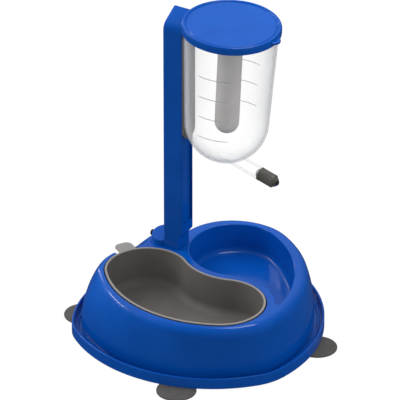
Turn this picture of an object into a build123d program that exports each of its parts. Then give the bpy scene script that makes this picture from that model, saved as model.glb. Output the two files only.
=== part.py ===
from build123d import *
from math import asin, atan2, cos, degrees, hypot, pi, radians, sin, sqrt, tan
import os

# Frame: origin on the floor under the middle of the base, +X along the base towards the spout,
# +Y towards the water well, +Z up. Millimetres and degrees.

# Base: rounded three-cornered tray with an upstanding rim, and the domed shell that stands in it
left_corner = (-71.0, -65.0)
left_corner_radius = 44.5
right_corner = (70.5, -37.5)
right_corner_radius = 66.5
back_corner = (15.5, 70.0)
back_corner_radius = 67.5
front_side_radius = 159.0
right_side_radius = 161.0
left_side_radius = 151.5
rim_height = 14.0
rim_wall = 2.2
moat_width = 8.8
bead_offset = 3.2
bead_width = 3.0
bead_height = 1.8
floor_gap = 2.4
floor_thickness = 2.4
rib_room = 3.4
rib_width = 1.8
rib_height = 2.4
deck_height = 69.0
shell_wall = 2.6
shoulder_radius = 10.0
belly_height = 30.0
belly_inset = 0.5
edge_round = 1.2
seat_gap = 0.05
overcut = 1.0

# Food bowl outline: two lobes joined by a bulging front and a hollow back
left_lobe = (-47.3, -32.6)
left_radius = 44.2
right_lobe = (56.2, -50.7)
right_radius = 46.5
front_radius = 127.3
back_radius = 64.5

# Water well outline: a round lobe that sweeps out to a pointed horn
well_centre = (10.7, 57.7)
well_radius = 49.2
well_sweep = 151.0
well_sweep_angle = 60.7
well_belly = 56.0
well_divider = 11.5
horn_radius = 2.5
well_depth = 33.0
well_draft = 3.0
well_corner = 7.0
well_floor_horn = 14.5

# Deck outline around both bowls, with a platform for the post
deck_margin = 12.5
left_margin = 7.5
deck_end_radius = 63.0
platform_centre = (-56.0, 31.5)
platform_radius = 25.0
valley_radius = 14.0

# Removable food bowl
bowl_depth = 42.0
bowl_wall = 1.3
bowl_draft = 4.0
bowl_corner = 9.0
bowl_inset = 1.0
bowl_clearance = 0.4
bowl_lip = 0.8
bowl_lip_thickness = 1.2
collar_depth = 9.0
tab_angle = 149.0
tab_width = 20.0
tab_reach = 17.0
tab_corner = 7.0
tab_root = 14.0
tab_room = 3.5
tab_notch_depth = 12.0
tab_notch_reach = 40.0

# Feet: soft discs that stick out past the rim, each placed from one arc of the rim
pad_radius = 21.5
pad_thickness = 1.6
pad_angles = [163.0, -72.7, 13.1, 113.7]
pad_outsets = [3.6, 4.8, -0.8, -9.9]
stem_inset = 14.0
stem_radius = 4.0
stem_length = 2.8
stem_room = 0.2
stem_boss_wall = 2.6
push_fit = 0.1

# Screws that close the base, one along each arc of the rim
screw_angles = [220.0, 275.0, -27.0, 27.0, 81.0, 152.0]
screw_radius = 1.5
screw_length = 12.0
screw_head_radius = 3.0
screw_head_height = 2.0
screw_slot = 0.8
screw_boss_wall = 2.4
screw_inset = 9.0
screw_clearance = 0.4
screw_recess = 0.4
screw_tip_room = 2.0

# Post and its socket
post_centre = (-46.2, 30.5)
post_width = 23.5
post_wall = 2.3
post_edge = 1.6
post_hollow_height = 290.0
post_back_top = 354.6
post_top_slope = 28.0
post_front_round = 12.0
post_step = 5.5
post_step_top = 89.8
post_step_height = 7.6
socket_depth = 44.0
socket_clearance = 0.2
channel_width = 18.5
channel_depth = 2.4
channel_flare = 0.8
channel_bottom = 100.0

# Round turret behind the post that houses its latch
turret_radius = 13.0
turret_height = 13.0
turret_slope = 14.0
latch_height = 74.5
latch_nose_radius = 2.8
latch_nose_length = 7.0
latch_bite = 3.2
latch_shaft_radius = 1.6
latch_chamber = 12.0
latch_cap_radius = 3.4
latch_cap_thickness = 2.6
slide_fit = 0.08

# Bottle, leaning forward just enough for its tapered back to stand upright
lid_top = (20.3, 30.5, 358.0)
bottle_taper = 2.7
bottle_radius = 50.8
bottle_wall = 1.6
bottle_length = 115.0
bottle_bead = 0.7
bottle_bead_height = 1.6
mark_count = 4
mark_pitch = 24.8
mark_lowest = 0.5
mark_angle = 46.0
mark_width = 0.8
mark_relief = 0.35
mark_side_angles = [-80.0, 100.0]

# Lid, gasket and cooling tube
lid_radius = 53.5
lid_plate = 2.2
lid_height = 7.5
lid_edge = 1.4
lid_skirt_clearance = 0.3
lid_plug_wall = 1.8
lid_plug_depth = 6.0
lid_ring_radius = 47.0
lid_ring_width = 2.0
lid_ring_height = 0.8
lid_tab_radius = 8.0
lid_tab_offset = 51.0
lid_tab_thickness = 3.0
lid_tab_drop = 1.5
gasket_thickness = 1.0
tube_radius = 13.2
tube_wall = 1.8
tube_socket_depth = 6.0
tube_socket_wall = 1.8

# Holder that slides on the post and carries the bottle on a track
holder_thickness = 2.85
holder_bottom = 206.0
holder_top = 338.0
holder_width = 22.5
holder_corner = 11.0
holder_gap = 0.1
track_head = 10.0
track_neck = 6.0
track_depth = 1.3
track_mouth = 0.8
track_seat = 232.0
track_length = 55.0
track_clearance = 0.1

# Spout, its cap and the ball valve
spout_slope = 15.5
spout_end = (55.6, 30.5, 187.6)
spout_length = 48.0
spout_radius = 7.15
spout_bore = 5.2
neck_length = 9.0
neck_radius = 6.2
washer_thickness = 1.0
cap_radius = 7.4
cap_length = 19.5
cap_chamfer = 1.2
nib_radius = 4.9
nib_length = 2.2
outlet_edge = 0.6
outlet_seat = 1.0
ball_radius = 4.0
ball_clearance = 0.25
outlet_radius = 3.8
cage_length = 8.0
cage_bore = 2.0
cage_slot = 1.6
cage_recess = 0.2
spring_wire = 0.5
ball_spring_radius = 2.6
ball_spring_turns = 8
latch_spring_turns = 7


def meet(first, first_reach, second, second_reach, side):
    """Point a given reach from two others, left (+1) or right (-1) of the line between them."""
    run = second[0] - first[0]
    rise = second[1] - first[1]
    apart = hypot(run, rise)
    along = (first_reach**2 - second_reach**2 + apart**2) / (2 * apart)
    across = side * sqrt(first_reach**2 - along**2)
    x = first[0] + (run * along - rise * across) / apart
    y = first[1] + (rise * along + run * across) / apart
    return (x, y)


def touch(first, second):
    """Point where two tangent arcs meet; a negative radius marks a hollow arc."""
    (centre, radius), (other_centre, other_radius) = first, second
    apart = hypot(other_centre[0] - centre[0], other_centre[1] - centre[1])
    reach = abs(radius)
    if radius * other_radius > 0 and abs(radius) < abs(other_radius):
        reach = -reach
    x = centre[0] + (other_centre[0] - centre[0]) * reach / apart
    y = centre[1] + (other_centre[1] - centre[1]) * reach / apart
    return (x, y)


def outline(arcs, grow=0.0):
    """Closed line of tangent arcs, anticlockwise, moved outwards by grow."""
    arcs = [(centre, radius + grow) for centre, radius in arcs]
    joints = [touch(arcs[i - 1], arcs[i]) for i in range(len(arcs))]
    for i, (centre, radius) in enumerate(arcs):
        start = joints[i]
        end = joints[(i + 1) % len(arcs)]
        start_angle = atan2(start[1] - centre[1], start[0] - centre[0])
        end_angle = atan2(end[1] - centre[1], end[0] - centre[0])
        turn = (end_angle - start_angle) % (2 * pi)
        if radius < 0:
            turn -= 2 * pi
        middle_angle = start_angle + turn / 2
        middle = (centre[0] + abs(radius) * cos(middle_angle), centre[1] + abs(radius) * sin(middle_angle))
        ThreePointArc(start, middle, end)


def base_arcs():
    """Arcs of the tray's rim: three corners joined by bulging sides."""
    left = (left_corner, left_corner_radius)
    right = (right_corner, right_corner_radius)
    back = (back_corner, back_corner_radius)
    return [
        left,
        side_arc(left, right, front_side_radius),
        right,
        side_arc(right, back, right_side_radius),
        back,
        side_arc(back, left, left_side_radius),
    ]


def side_arc(first, second, radius):
    """Arc of a given radius that runs on smoothly from one corner's arc to the next one's."""
    (place, corner), (other_place, other_corner) = first, second
    return (meet(place, radius - corner, other_place, radius - other_corner, 1), radius)


def bowl_arcs():
    """Arcs of the food bowl's bean shape."""
    front = meet(left_lobe, front_radius - left_radius, right_lobe, front_radius - right_radius, 1)
    back = meet(left_lobe, back_radius + left_radius, right_lobe, back_radius + right_radius, 1)
    return [
        (left_lobe, left_radius),
        (front, front_radius),
        (right_lobe, right_radius),
        (back, -back_radius),
    ]


def sweep_centre():
    """Centre of the well's long outer arc, which runs on smoothly from the round lobe."""
    reach = well_sweep - well_radius
    angle = radians(well_sweep_angle)
    return (well_centre[0] - reach * cos(angle), well_centre[1] - reach * sin(angle))


def well_arcs(tip_radius=horn_radius):
    """Arcs of the water well's comma shape, drawn to a tip of the given radius."""
    near = right_radius + well_divider
    horn = meet(sweep_centre(), well_sweep - tip_radius, right_lobe, near + tip_radius, 1)
    belly = meet(well_centre, well_belly - well_radius, right_lobe, near + well_belly, 1)
    return [
        (horn, tip_radius),
        (sweep_centre(), well_sweep),
        (well_centre, well_radius),
        (belly, well_belly),
        (right_lobe, -near),
    ]


def deck_arcs():
    """Arcs of the deck's outer edge: a margin round both bowls, hollow beside the post."""
    front_reach = front_radius + deck_margin
    sweep_reach = well_sweep + deck_margin
    well_reach = well_radius + deck_margin
    left_reach = left_radius + left_margin
    platform_reach = platform_radius + valley_radius
    front = meet(left_lobe, front_reach - left_reach, right_lobe, front_radius - right_radius, 1)
    end = meet(sweep_centre(), sweep_reach - deck_end_radius, front, front_reach - deck_end_radius, -1)
    back_valley = meet(well_centre, well_reach + valley_radius, platform_centre, platform_reach, -1)
    left_valley = meet(platform_centre, platform_reach, left_lobe, left_reach + valley_radius, -1)
    return [
        (end, deck_end_radius),
        (sweep_centre(), sweep_reach),
        (well_centre, well_reach),
        (back_valley, -valley_radius),
        (platform_centre, platform_radius),
        (left_valley, -valley_radius),
        (left_lobe, left_reach),
        (front, front_reach),
    ]


def spot(arc, angle, outset=0.0):
    """Point at an angle about an arc's centre, moved out past the arc by outset."""
    (x, y), radius = arc
    return (x + (radius + outset) * cos(radians(angle)), y + (radius + outset) * sin(radians(angle)))


# Heights and places that follow from the driving dimensions
floor_under = pad_thickness + floor_gap
floor_top = floor_under + floor_thickness
dome_inset = rim_wall + moat_width
left_arc, front_side, right_arc, right_side, back_arc, left_side = base_arcs()
pads = list(zip([left_arc, front_side, right_side, left_side], pad_angles, pad_outsets))
pad_centres = [spot(arc, angle, outset) for arc, angle, outset in pads]
stem_places = [spot(arc, angle, outset - stem_inset) for arc, angle, outset in pads]
screw_places = [spot(arc, angle, -dome_inset - screw_inset) for arc, angle in zip(base_arcs(), screw_angles)]
screw_seat = floor_under + screw_recess
screw_boss_height = screw_length + screw_tip_room
post_back = post_centre[0] - post_width / 2
post_face = post_centre[0] + post_width / 2
post_near = post_centre[1] - post_width / 2
post_far = post_centre[1] + post_width / 2
post_foot = deck_height - socket_depth
turret_centre = (post_back - turret_radius / 2, post_centre[1])
turret_back = turret_centre[0] - turret_radius
post_hollow_back = post_back + latch_bite + seat_gap + post_wall
post_hollow_front = post_face - post_step - post_wall
latch_nose_tip = post_back + latch_bite
latch_nose_back = latch_nose_tip - latch_nose_length
latch_chamber_back = post_back - socket_clearance - latch_chamber
latch_cap_front = turret_back - 2 * seat_gap
latch_spring_length = latch_nose_back - latch_chamber_back - 2 * seat_gap
holder_face = post_face + holder_gap + holder_thickness
rim_level = -lid_plate - gasket_thickness
bottle_up = (sin(radians(bottle_taper)), 0.0, cos(radians(bottle_taper)))
bottle_forward = (cos(radians(bottle_taper)), 0.0, -sin(radians(bottle_taper)))


def bottle_level(height):
    """Plane square to the bottle's axis, a height above the lid's top face."""
    place = tuple(lid_top[i] + bottle_up[i] * height for i in range(3))
    return Plane(origin=place, x_dir=bottle_forward, z_dir=bottle_up)


def bottle_profile(angle=0.0):
    """Upright plane through the bottle's axis: local x is the radius, local y the height."""
    ahead = cos(radians(angle))
    aside = sin(radians(angle))
    out = (ahead * bottle_forward[0], aside, ahead * bottle_forward[2])
    normal = (aside * bottle_forward[0], -ahead, aside * bottle_forward[2])
    return Plane(origin=lid_top, x_dir=out, z_dir=normal)


bottle_axis = Axis(lid_top, bottle_up)
bottle_back = lid_top[0] + bottle_up[0] * rim_level - bottle_radius * cos(radians(bottle_taper))
rail_root = bottle_back + bottle_wall / 2
tube_end = rim_level - bottle_length

spout_way = (cos(radians(spout_slope)), 0.0, -sin(radians(spout_slope)))

# Plane through the spout's axis, where local x runs out along it and local y is the radius
spout_profile = Plane(origin=spout_end, x_dir=spout_way, z_dir=(0, -1, 0))
spout_axis = Axis(spout_end, spout_way)
cage_front = neck_length - cage_recess
cage_back = cage_front - cage_length
cage_radius = spout_bore - push_fit / 2
cage_opening = degrees(asin(cage_bore / cage_radius))
cap_shoulder = neck_length + washer_thickness
chamber_radius = ball_radius + ball_clearance
ball_place = cap_length + nib_length - sqrt(ball_radius**2 - outlet_radius**2) - seat_gap
ball_contact = sqrt((ball_radius + spring_wire / 2) ** 2 - ball_spring_radius**2)
ball_spring_length = ball_place - ball_contact + spring_wire / 2 - cage_front - 2 * seat_gap


def along_spout(distance):
    """Point on the spout's axis, a distance past the end of its tube."""
    return tuple(spout_end[i] + spout_way[i] * distance for i in range(3))


# Tray: floor, rim wall, a bead in the moat and a rib that locates the shell
with BuildPart() as base_tray:
    with BuildSketch(Plane.XY.offset(pad_thickness)):
        with BuildLine():
            outline(base_arcs())
        make_face()
    extrude(amount=rim_height - pad_thickness)
    with BuildSketch(Plane.XY.offset(floor_top)):
        with BuildLine():
            outline(base_arcs(), -rim_wall)
        make_face()
    extrude(amount=rim_height, mode=Mode.SUBTRACT)
    with BuildSketch(Plane.XY.offset(pad_thickness)):
        with BuildLine():
            outline(base_arcs(), -rim_wall)
        make_face()
        with Locations(*stem_places):
            Circle(stem_radius + push_fit + stem_boss_wall, mode=Mode.SUBTRACT)
    extrude(amount=floor_gap, mode=Mode.SUBTRACT)
    fillet(base_tray.faces().sort_by(Axis.Z)[-1].edges(), rim_wall / 3)
    with BuildSketch(Plane.XY.offset(floor_top)):
        with BuildLine():
            outline(base_arcs(), bead_offset + bead_width - dome_inset)
        make_face()
        with BuildLine():
            outline(base_arcs(), bead_offset - dome_inset)
        make_face(mode=Mode.SUBTRACT)
    extrude(amount=bead_height)
    bead_top = floor_top + bead_height
    bead_face = base_tray.faces().filter_by_position(Axis.Z, bead_top - seat_gap, bead_top + seat_gap)
    fillet(bead_face.edges(), bead_width * 0.4)
    with BuildSketch(Plane.XY.offset(floor_top)):
        rib_inset = dome_inset + shell_wall + rib_room
        with BuildLine():
            outline(base_arcs(), -rib_inset)
        make_face()
        with BuildLine():
            outline(base_arcs(), -rib_inset - rib_width)
        make_face(mode=Mode.SUBTRACT)
        with Locations(*screw_places):
            Circle(screw_inset, mode=Mode.SUBTRACT)
    extrude(amount=rib_height)
    with BuildSketch(Plane.XY.offset(pad_thickness)):
        with Locations(*stem_places):
            Circle(stem_radius + push_fit)
    extrude(amount=stem_length + stem_room, mode=Mode.SUBTRACT)
    with BuildSketch(Plane.XY.offset(pad_thickness)):
        with Locations(*screw_places):
            Circle(screw_radius + screw_clearance)
    extrude(amount=floor_top, mode=Mode.SUBTRACT)
    with BuildSketch(Plane.XY.offset(pad_thickness)):
        with Locations(*screw_places):
            Circle(screw_head_radius + screw_clearance)
    extrude(amount=screw_seat - pad_thickness, mode=Mode.SUBTRACT)
base_tray.part.label = "base_tray"


def notch_sketch(grow=0.0):
    """Gap in the deck's margin under the food bowl's lift tab, pointing out from the left lobe."""
    with Locations(Location((left_lobe[0], left_lobe[1], 0), (0, 0, tab_angle))):
        with Locations((left_radius + tab_notch_reach / 2, 0)):
            Rectangle(tab_notch_reach + 2 * grow, tab_width + 2 * tab_room + 2 * grow)


def dome(inset=0.0):
    """Bulging body of the stand, from its foot over its belly to the deck, moved inwards by inset."""
    with BuildPart() as body:
        with BuildSketch(Plane.XY.offset(floor_top)):
            with BuildLine():
                outline(base_arcs(), -dome_inset - inset)
            make_face()
        with BuildSketch(Plane.XY.offset(belly_height)):
            with BuildLine():
                outline(base_arcs(), -dome_inset - belly_inset - inset)
            make_face()
        with BuildSketch(Plane.XY.offset(deck_height - inset)):
            with BuildLine():
                outline(deck_arcs(), -inset)
            make_face()
        loft()
        fillet(body.faces().sort_by(Axis.Z)[-1].edges(), shoulder_radius - inset)
    return body.part


# Inside of the shell: everything it is hollowed by, one wall thickness in
with BuildPart() as shell_core:
    add(dome(shell_wall))
    with BuildSketch(Plane.XY.offset(deck_height)):
        with BuildLine():
            outline(well_arcs(), shell_wall)
        make_face()
    extrude(amount=-well_depth - shell_wall, taper=well_draft, mode=Mode.SUBTRACT)
    with BuildSketch(Plane.XY.offset(deck_height)):
        with Locations(((post_back + post_face - post_step) / 2, post_centre[1])):
            socket_wall = socket_clearance + shell_wall
            Rectangle(post_width - post_step + 2 * socket_wall, post_width + 2 * socket_wall)
    extrude(amount=-socket_depth - shell_wall, mode=Mode.SUBTRACT)
    with BuildSketch(Plane.XY.offset(deck_height)):
        with BuildLine():
            outline(bowl_arcs(), bowl_inset + bowl_wall + bowl_clearance + shell_wall)
        make_face()
        with BuildLine():
            outline(bowl_arcs(), bowl_inset + bowl_wall + bowl_clearance)
        make_face(mode=Mode.SUBTRACT)
    extrude(amount=-collar_depth, mode=Mode.SUBTRACT)
    with BuildSketch(Plane.XY.offset(deck_height)):
        notch_sketch(shell_wall)
    extrude(amount=-tab_notch_depth - shell_wall, mode=Mode.SUBTRACT)
    with BuildSketch(Plane.XY.offset(floor_top)):
        with Locations(*screw_places):
            Circle(screw_radius + screw_boss_wall)
        for place, angle in zip(screw_places, screw_angles):
            with Locations(Location((*place, 0), (0, 0, angle))):
                Rectangle(screw_inset, shell_wall, align=(Align.MIN, Align.CENTER))
    extrude(amount=screw_boss_height, mode=Mode.SUBTRACT)

# Space inside the water well, rounded along the bottom
with BuildPart() as well_hollow:
    with BuildSketch(Plane.XY.offset(deck_height)):
        with BuildLine():
            outline(well_arcs())
        make_face()
    extrude(amount=well_corner - well_depth, taper=well_draft)
    with BuildSketch(Plane.XY.offset(deck_height - well_depth + well_corner)):
        with BuildLine():
            draft_inset = (well_depth - well_corner) * tan(radians(well_draft))
            outline(well_arcs(well_floor_horn), -draft_inset)
        make_face()
    extrude(amount=-well_corner)
    fillet(well_hollow.faces().sort_by(Axis.Z)[0].edges(), well_corner - seat_gap)

# Shell: dome, deck, water well, post socket and turret in one moulding
with BuildPart() as base_shell:
    add(dome())
    with BuildSketch(Plane.XY.offset(deck_height)):
        notch_sketch()
    extrude(amount=-tab_notch_depth, mode=Mode.SUBTRACT)
    with BuildSketch(Plane.XY.offset(deck_height - shell_wall)):
        with Locations(turret_centre):
            Circle(turret_radius)
    extrude(amount=shell_wall + turret_height)
    with BuildSketch(Plane.YZ.offset(turret_back - overcut)):
        with BuildLine():
            turret_top = deck_height + turret_height
            turret_low = turret_top - 2 * turret_radius * tan(radians(turret_slope))
            near_edge = turret_centre[1] - turret_radius - overcut
            far_edge = turret_centre[1] + turret_radius
            Polyline(
                (near_edge, turret_low),
                (far_edge, turret_top),
                (far_edge + overcut, turret_top + overcut),
                (near_edge, turret_top + overcut),
                close=True,
            )
        make_face()
    extrude(amount=4 * turret_radius, mode=Mode.SUBTRACT)
    fillet(base_shell.edges(Select.LAST), edge_round)
    add(shell_core.part, mode=Mode.SUBTRACT)
    add(well_hollow.part, mode=Mode.SUBTRACT)
    well_edges = base_shell.edges(Select.LAST)
    fillet(well_edges.filter_by_position(Axis.Z, deck_height - seat_gap, deck_height + seat_gap), edge_round)
    with BuildSketch(Plane.XY.offset(deck_height + turret_height)):
        with Locations(((post_back + post_face - post_step) / 2, post_centre[1])):
            Rectangle(post_width - post_step + 2 * socket_clearance, post_width + 2 * socket_clearance)
    extrude(amount=-turret_height - socket_depth, mode=Mode.SUBTRACT)
    with BuildSketch(Plane.XY.offset(deck_height)):
        with BuildLine():
            outline(bowl_arcs(), bowl_inset + bowl_wall + bowl_clearance)
        make_face()
    extrude(amount=-tab_notch_depth - shell_wall - overcut, mode=Mode.SUBTRACT)
    with BuildSketch(Plane.XY.offset(floor_top)):
        with Locations(*screw_places):
            Circle(screw_radius + push_fit / 2)
    extrude(amount=screw_length, mode=Mode.SUBTRACT)
    with BuildSketch(Plane.YZ.offset(post_back - socket_clearance)):
        with Locations((post_centre[1], latch_height)):
            Circle(latch_nose_radius + slide_fit)
    extrude(amount=-latch_chamber, mode=Mode.SUBTRACT)
    with BuildSketch(Plane.YZ.offset(latch_chamber_back)):
        with Locations((post_centre[1], latch_height)):
            Circle(latch_shaft_radius + slide_fit)
    extrude(amount=-turret_radius, mode=Mode.SUBTRACT)
base_shell.part.label = "base_shell"

# Screws: six of one kind, driven up through the tray into the shell
with BuildPart() as tray_screws:
    with BuildSketch(Plane.XY.offset(screw_seat - screw_head_height)):
        with Locations(*screw_places):
            Circle(screw_head_radius)
    extrude(amount=screw_head_height)
    with BuildSketch(Plane.XY.offset(screw_seat)):
        with Locations(*screw_places):
            Circle(screw_radius)
    extrude(amount=screw_length)
    with BuildSketch(Plane.XY.offset(screw_seat - screw_head_height)):
        with Locations(*screw_places):
            Rectangle(screw_head_radius * 1.2, screw_slot)
            Rectangle(screw_slot, screw_head_radius * 1.2)
    extrude(amount=screw_head_height / 2, mode=Mode.SUBTRACT)
tray_screws.part.label = "tray_screws"


def make_foot(pad, stem):
    """Soft disc with a stem that plugs into the tray from below."""
    with BuildPart() as foot:
        with BuildSketch(Plane.XY):
            with Locations(pad):
                Circle(pad_radius)
        extrude(amount=pad_thickness)
        fillet(foot.edges().sort_by(Axis.Z)[-1], pad_thickness / 2)
        with BuildSketch(Plane.XY.offset(pad_thickness / 2)):
            with Locations(stem):
                Circle(stem_radius)
        extrude(amount=pad_thickness / 2 + stem_length)
    return foot.part


feet = [make_foot(pad, stem) for pad, stem in zip(pad_centres, stem_places)]

# Food bowl: thin bean-shaped cup with a flat lip and a tongue to lift it by
with BuildPart() as bowl_hollow:
    with BuildSketch(Plane.XY.offset(deck_height + bowl_lip_thickness)):
        with BuildLine():
            outline(bowl_arcs(), -bowl_inset)
        make_face()
    extrude(amount=-bowl_depth, taper=bowl_draft)
    fillet(bowl_hollow.faces().sort_by(Axis.Z)[0].edges(), bowl_corner)

with BuildPart() as food_bowl:
    with BuildSketch(Plane.XY.offset(deck_height + bowl_lip_thickness)):
        with BuildLine():
            outline(bowl_arcs(), bowl_wall - bowl_inset)
        make_face()
    extrude(amount=-bowl_depth - bowl_wall, taper=bowl_draft)
    fillet(food_bowl.faces().sort_by(Axis.Z)[0].edges(), bowl_corner + bowl_wall)
    with BuildSketch(Plane.XY.offset(deck_height + seat_gap)):
        with BuildLine():
            outline(bowl_arcs(), bowl_wall - bowl_inset + bowl_clearance + bowl_lip)
        make_face()
        with Locations(Location((left_lobe[0], left_lobe[1], 0), (0, 0, tab_angle))):
            with Locations((left_radius + tab_reach - (tab_reach + tab_root) / 2, 0)):
                RectangleRounded(tab_reach + tab_root, tab_width, tab_corner)
    extrude(amount=bowl_lip_thickness - seat_gap)
    add(bowl_hollow.part, mode=Mode.SUBTRACT)
    fillet(food_bowl.faces().sort_by(Axis.Z)[-1].edges(), bowl_lip_thickness * 0.4)
food_bowl.part.label = "food_bowl"

# Post: hollow square column with a slanted top, a stepped foot and a channel down its front
with BuildPart() as post:
    with BuildSketch(Plane.YZ.offset(post_back)) as post_side:
        with BuildLine():
            Polyline(
                (post_near, post_foot),
                (post_far, post_foot),
                (post_far, post_back_top),
                (post_near, post_back_top - post_width * tan(radians(post_top_slope))),
                close=True,
            )
        make_face()
        fillet(post_side.vertices().group_by(Axis.X)[0].sort_by(Axis.Y)[-1], post_front_round)
    extrude(amount=post_width)
    fillet(post.edges().filter_by(Axis.Z), post_edge)
    with BuildSketch(Plane.XZ.offset(-post_near)):
        with BuildLine():
            Polyline(
                (post_face + overcut, post_foot - overcut),
                (post_face + overcut, post_step_top),
                (post_face, post_step_top),
                (post_face - post_step, post_step_top - post_step_height),
                (post_face - post_step, post_foot - overcut),
                close=True,
            )
        make_face()
    extrude(amount=-post_width, mode=Mode.SUBTRACT)
    with BuildSketch(Plane.XY.offset(channel_bottom)):
        with BuildLine():
            Polyline(
                (post_face + overcut, post_centre[1] - channel_width / 2),
                (post_face, post_centre[1] - channel_width / 2),
                (post_face - channel_depth, post_centre[1] - channel_width / 2 - channel_flare),
                (post_face - channel_depth, post_centre[1] + channel_width / 2 + channel_flare),
                (post_face, post_centre[1] + channel_width / 2),
                (post_face + overcut, post_centre[1] + channel_width / 2),
                close=True,
            )
        make_face()
    extrude(amount=post_back_top, mode=Mode.SUBTRACT)
    with BuildSketch(Plane.XY.offset(post_foot)):
        with Locations(((post_hollow_back + post_hollow_front) / 2, post_centre[1])):
            Rectangle(post_hollow_front - post_hollow_back, post_width - 2 * post_wall)
    extrude(amount=post_hollow_height, mode=Mode.SUBTRACT)
    with BuildSketch(Plane.XY.offset(post_foot)):
        with Locations((post_back, post_centre[1])):
            Rectangle(2 * (latch_bite + seat_gap), 2 * (latch_nose_radius + slide_fit))
    extrude(amount=latch_height + latch_nose_radius + socket_clearance - post_foot, mode=Mode.SUBTRACT)
post.part.label = "post"

# Catch: a sprung plunger in the turret whose nose presses into the post's keyway
with BuildPart() as latch_plunger:
    with BuildSketch(Plane.YZ.offset(latch_nose_tip)):
        with Locations((post_centre[1], latch_height)):
            Circle(latch_nose_radius)
    extrude(amount=-latch_nose_length)
    fillet(latch_plunger.edges().sort_by(Axis.X)[-1], latch_nose_radius / 3)
    with BuildSketch(Plane.YZ.offset(latch_nose_back)):
        with Locations((post_centre[1], latch_height)):
            Circle(latch_shaft_radius)
    extrude(amount=latch_cap_front - latch_cap_thickness / 2 - latch_nose_back)
latch_plunger.part.label = "latch_plunger"

with BuildPart() as latch_cap:
    with BuildSketch(Plane.YZ.offset(latch_cap_front)):
        with Locations((post_centre[1], latch_height)):
            Circle(latch_cap_radius)
    extrude(amount=-latch_cap_thickness)
    fillet(latch_cap.edges().sort_by(Axis.X)[0], latch_cap_thickness / 3)
    with BuildSketch(Plane.YZ.offset(latch_cap_front)):
        with Locations((post_centre[1], latch_height)):
            Circle(latch_shaft_radius)
    extrude(amount=-latch_cap_thickness / 2, mode=Mode.SUBTRACT)
latch_cap.part.label = "latch_cap"


def coil(place, way, radius, length, turns):
    """Round wire wound in one unbroken helix from place along way."""
    with BuildPart() as spring:
        with BuildLine() as path:
            Helix((length - spring_wire) / turns, length - spring_wire, radius, place, way)
        with BuildSketch(Plane(origin=path.line @ 0, z_dir=path.line % 0)):
            Circle(spring_wire / 2)
        sweep(path=path.line, is_frenet=True)
    return spring.part


latch_spring = coil(
    (latch_nose_back - spring_wire / 2 - seat_gap, post_centre[1], latch_height),
    (-1, 0, 0),
    (latch_shaft_radius + latch_nose_radius) / 2,
    latch_spring_length,
    latch_spring_turns,
)

# Holder: plate with a tongue for the post's channel and a track for the bottle
with BuildPart() as bottle_holder:
    with BuildSketch(Plane.YZ.offset(post_face + holder_gap)):
        with Locations((post_centre[1], (holder_bottom + holder_top) / 2)):
            Rectangle(holder_width, holder_top - holder_bottom)
    extrude(amount=holder_thickness)
    fillet(bottle_holder.edges().filter_by(Axis.X), holder_corner)
    with BuildSketch(Plane.XY.offset(holder_bottom + holder_corner)):
        with BuildLine():
            tongue_mouth = channel_width / 2 - slide_fit - holder_gap
            tongue_floor = tongue_mouth + channel_flare
            Polyline(
                (post_face + holder_gap, post_centre[1] - tongue_mouth),
                (post_face + slide_fit - channel_depth, post_centre[1] - tongue_floor),
                (post_face + slide_fit - channel_depth, post_centre[1] + tongue_floor),
                (post_face + holder_gap, post_centre[1] + tongue_mouth),
                close=True,
            )
        make_face()
    extrude(amount=holder_top - holder_bottom - 2 * holder_corner)
    with BuildSketch(Plane.XY.offset(track_seat)):
        with Locations((holder_face, post_centre[1])):
            Rectangle(2 * track_mouth, track_neck + 2 * track_clearance)
        with Locations((holder_face - track_mouth - track_depth / 2 - track_clearance, post_centre[1])):
            Rectangle(track_depth + 2 * track_clearance, track_head + 2 * track_clearance)
    extrude(amount=holder_top - track_seat + overcut, mode=Mode.SUBTRACT)
bottle_holder.part.label = "bottle_holder"


def bottle_outline(inset=0.0):
    """Half outline of the bottle in its own plane, moved inwards by inset."""
    taper = radians(bottle_taper)
    middle = rim_level - bottle_length
    top_radius = bottle_radius - inset / cos(taper)
    bottom_radius = (bottle_radius - bottle_length * tan(taper)) * cos(taper) - inset
    turn = CenterArc((0, middle), bottom_radius, -90, 90 - bottle_taper)
    Line(turn @ 1, (top_radius, rim_level))
    Line((top_radius, rim_level), (0, rim_level))
    Line((0, rim_level), turn @ 0)


# Bottle: open-topped, with a domed bottom, a spout, marks up its sides and a rail down its back
with BuildPart() as bottle_hollow:
    with BuildSketch(bottle_profile()):
        with BuildLine():
            bottle_outline(bottle_wall)
        make_face()
    revolve(axis=bottle_axis)

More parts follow.
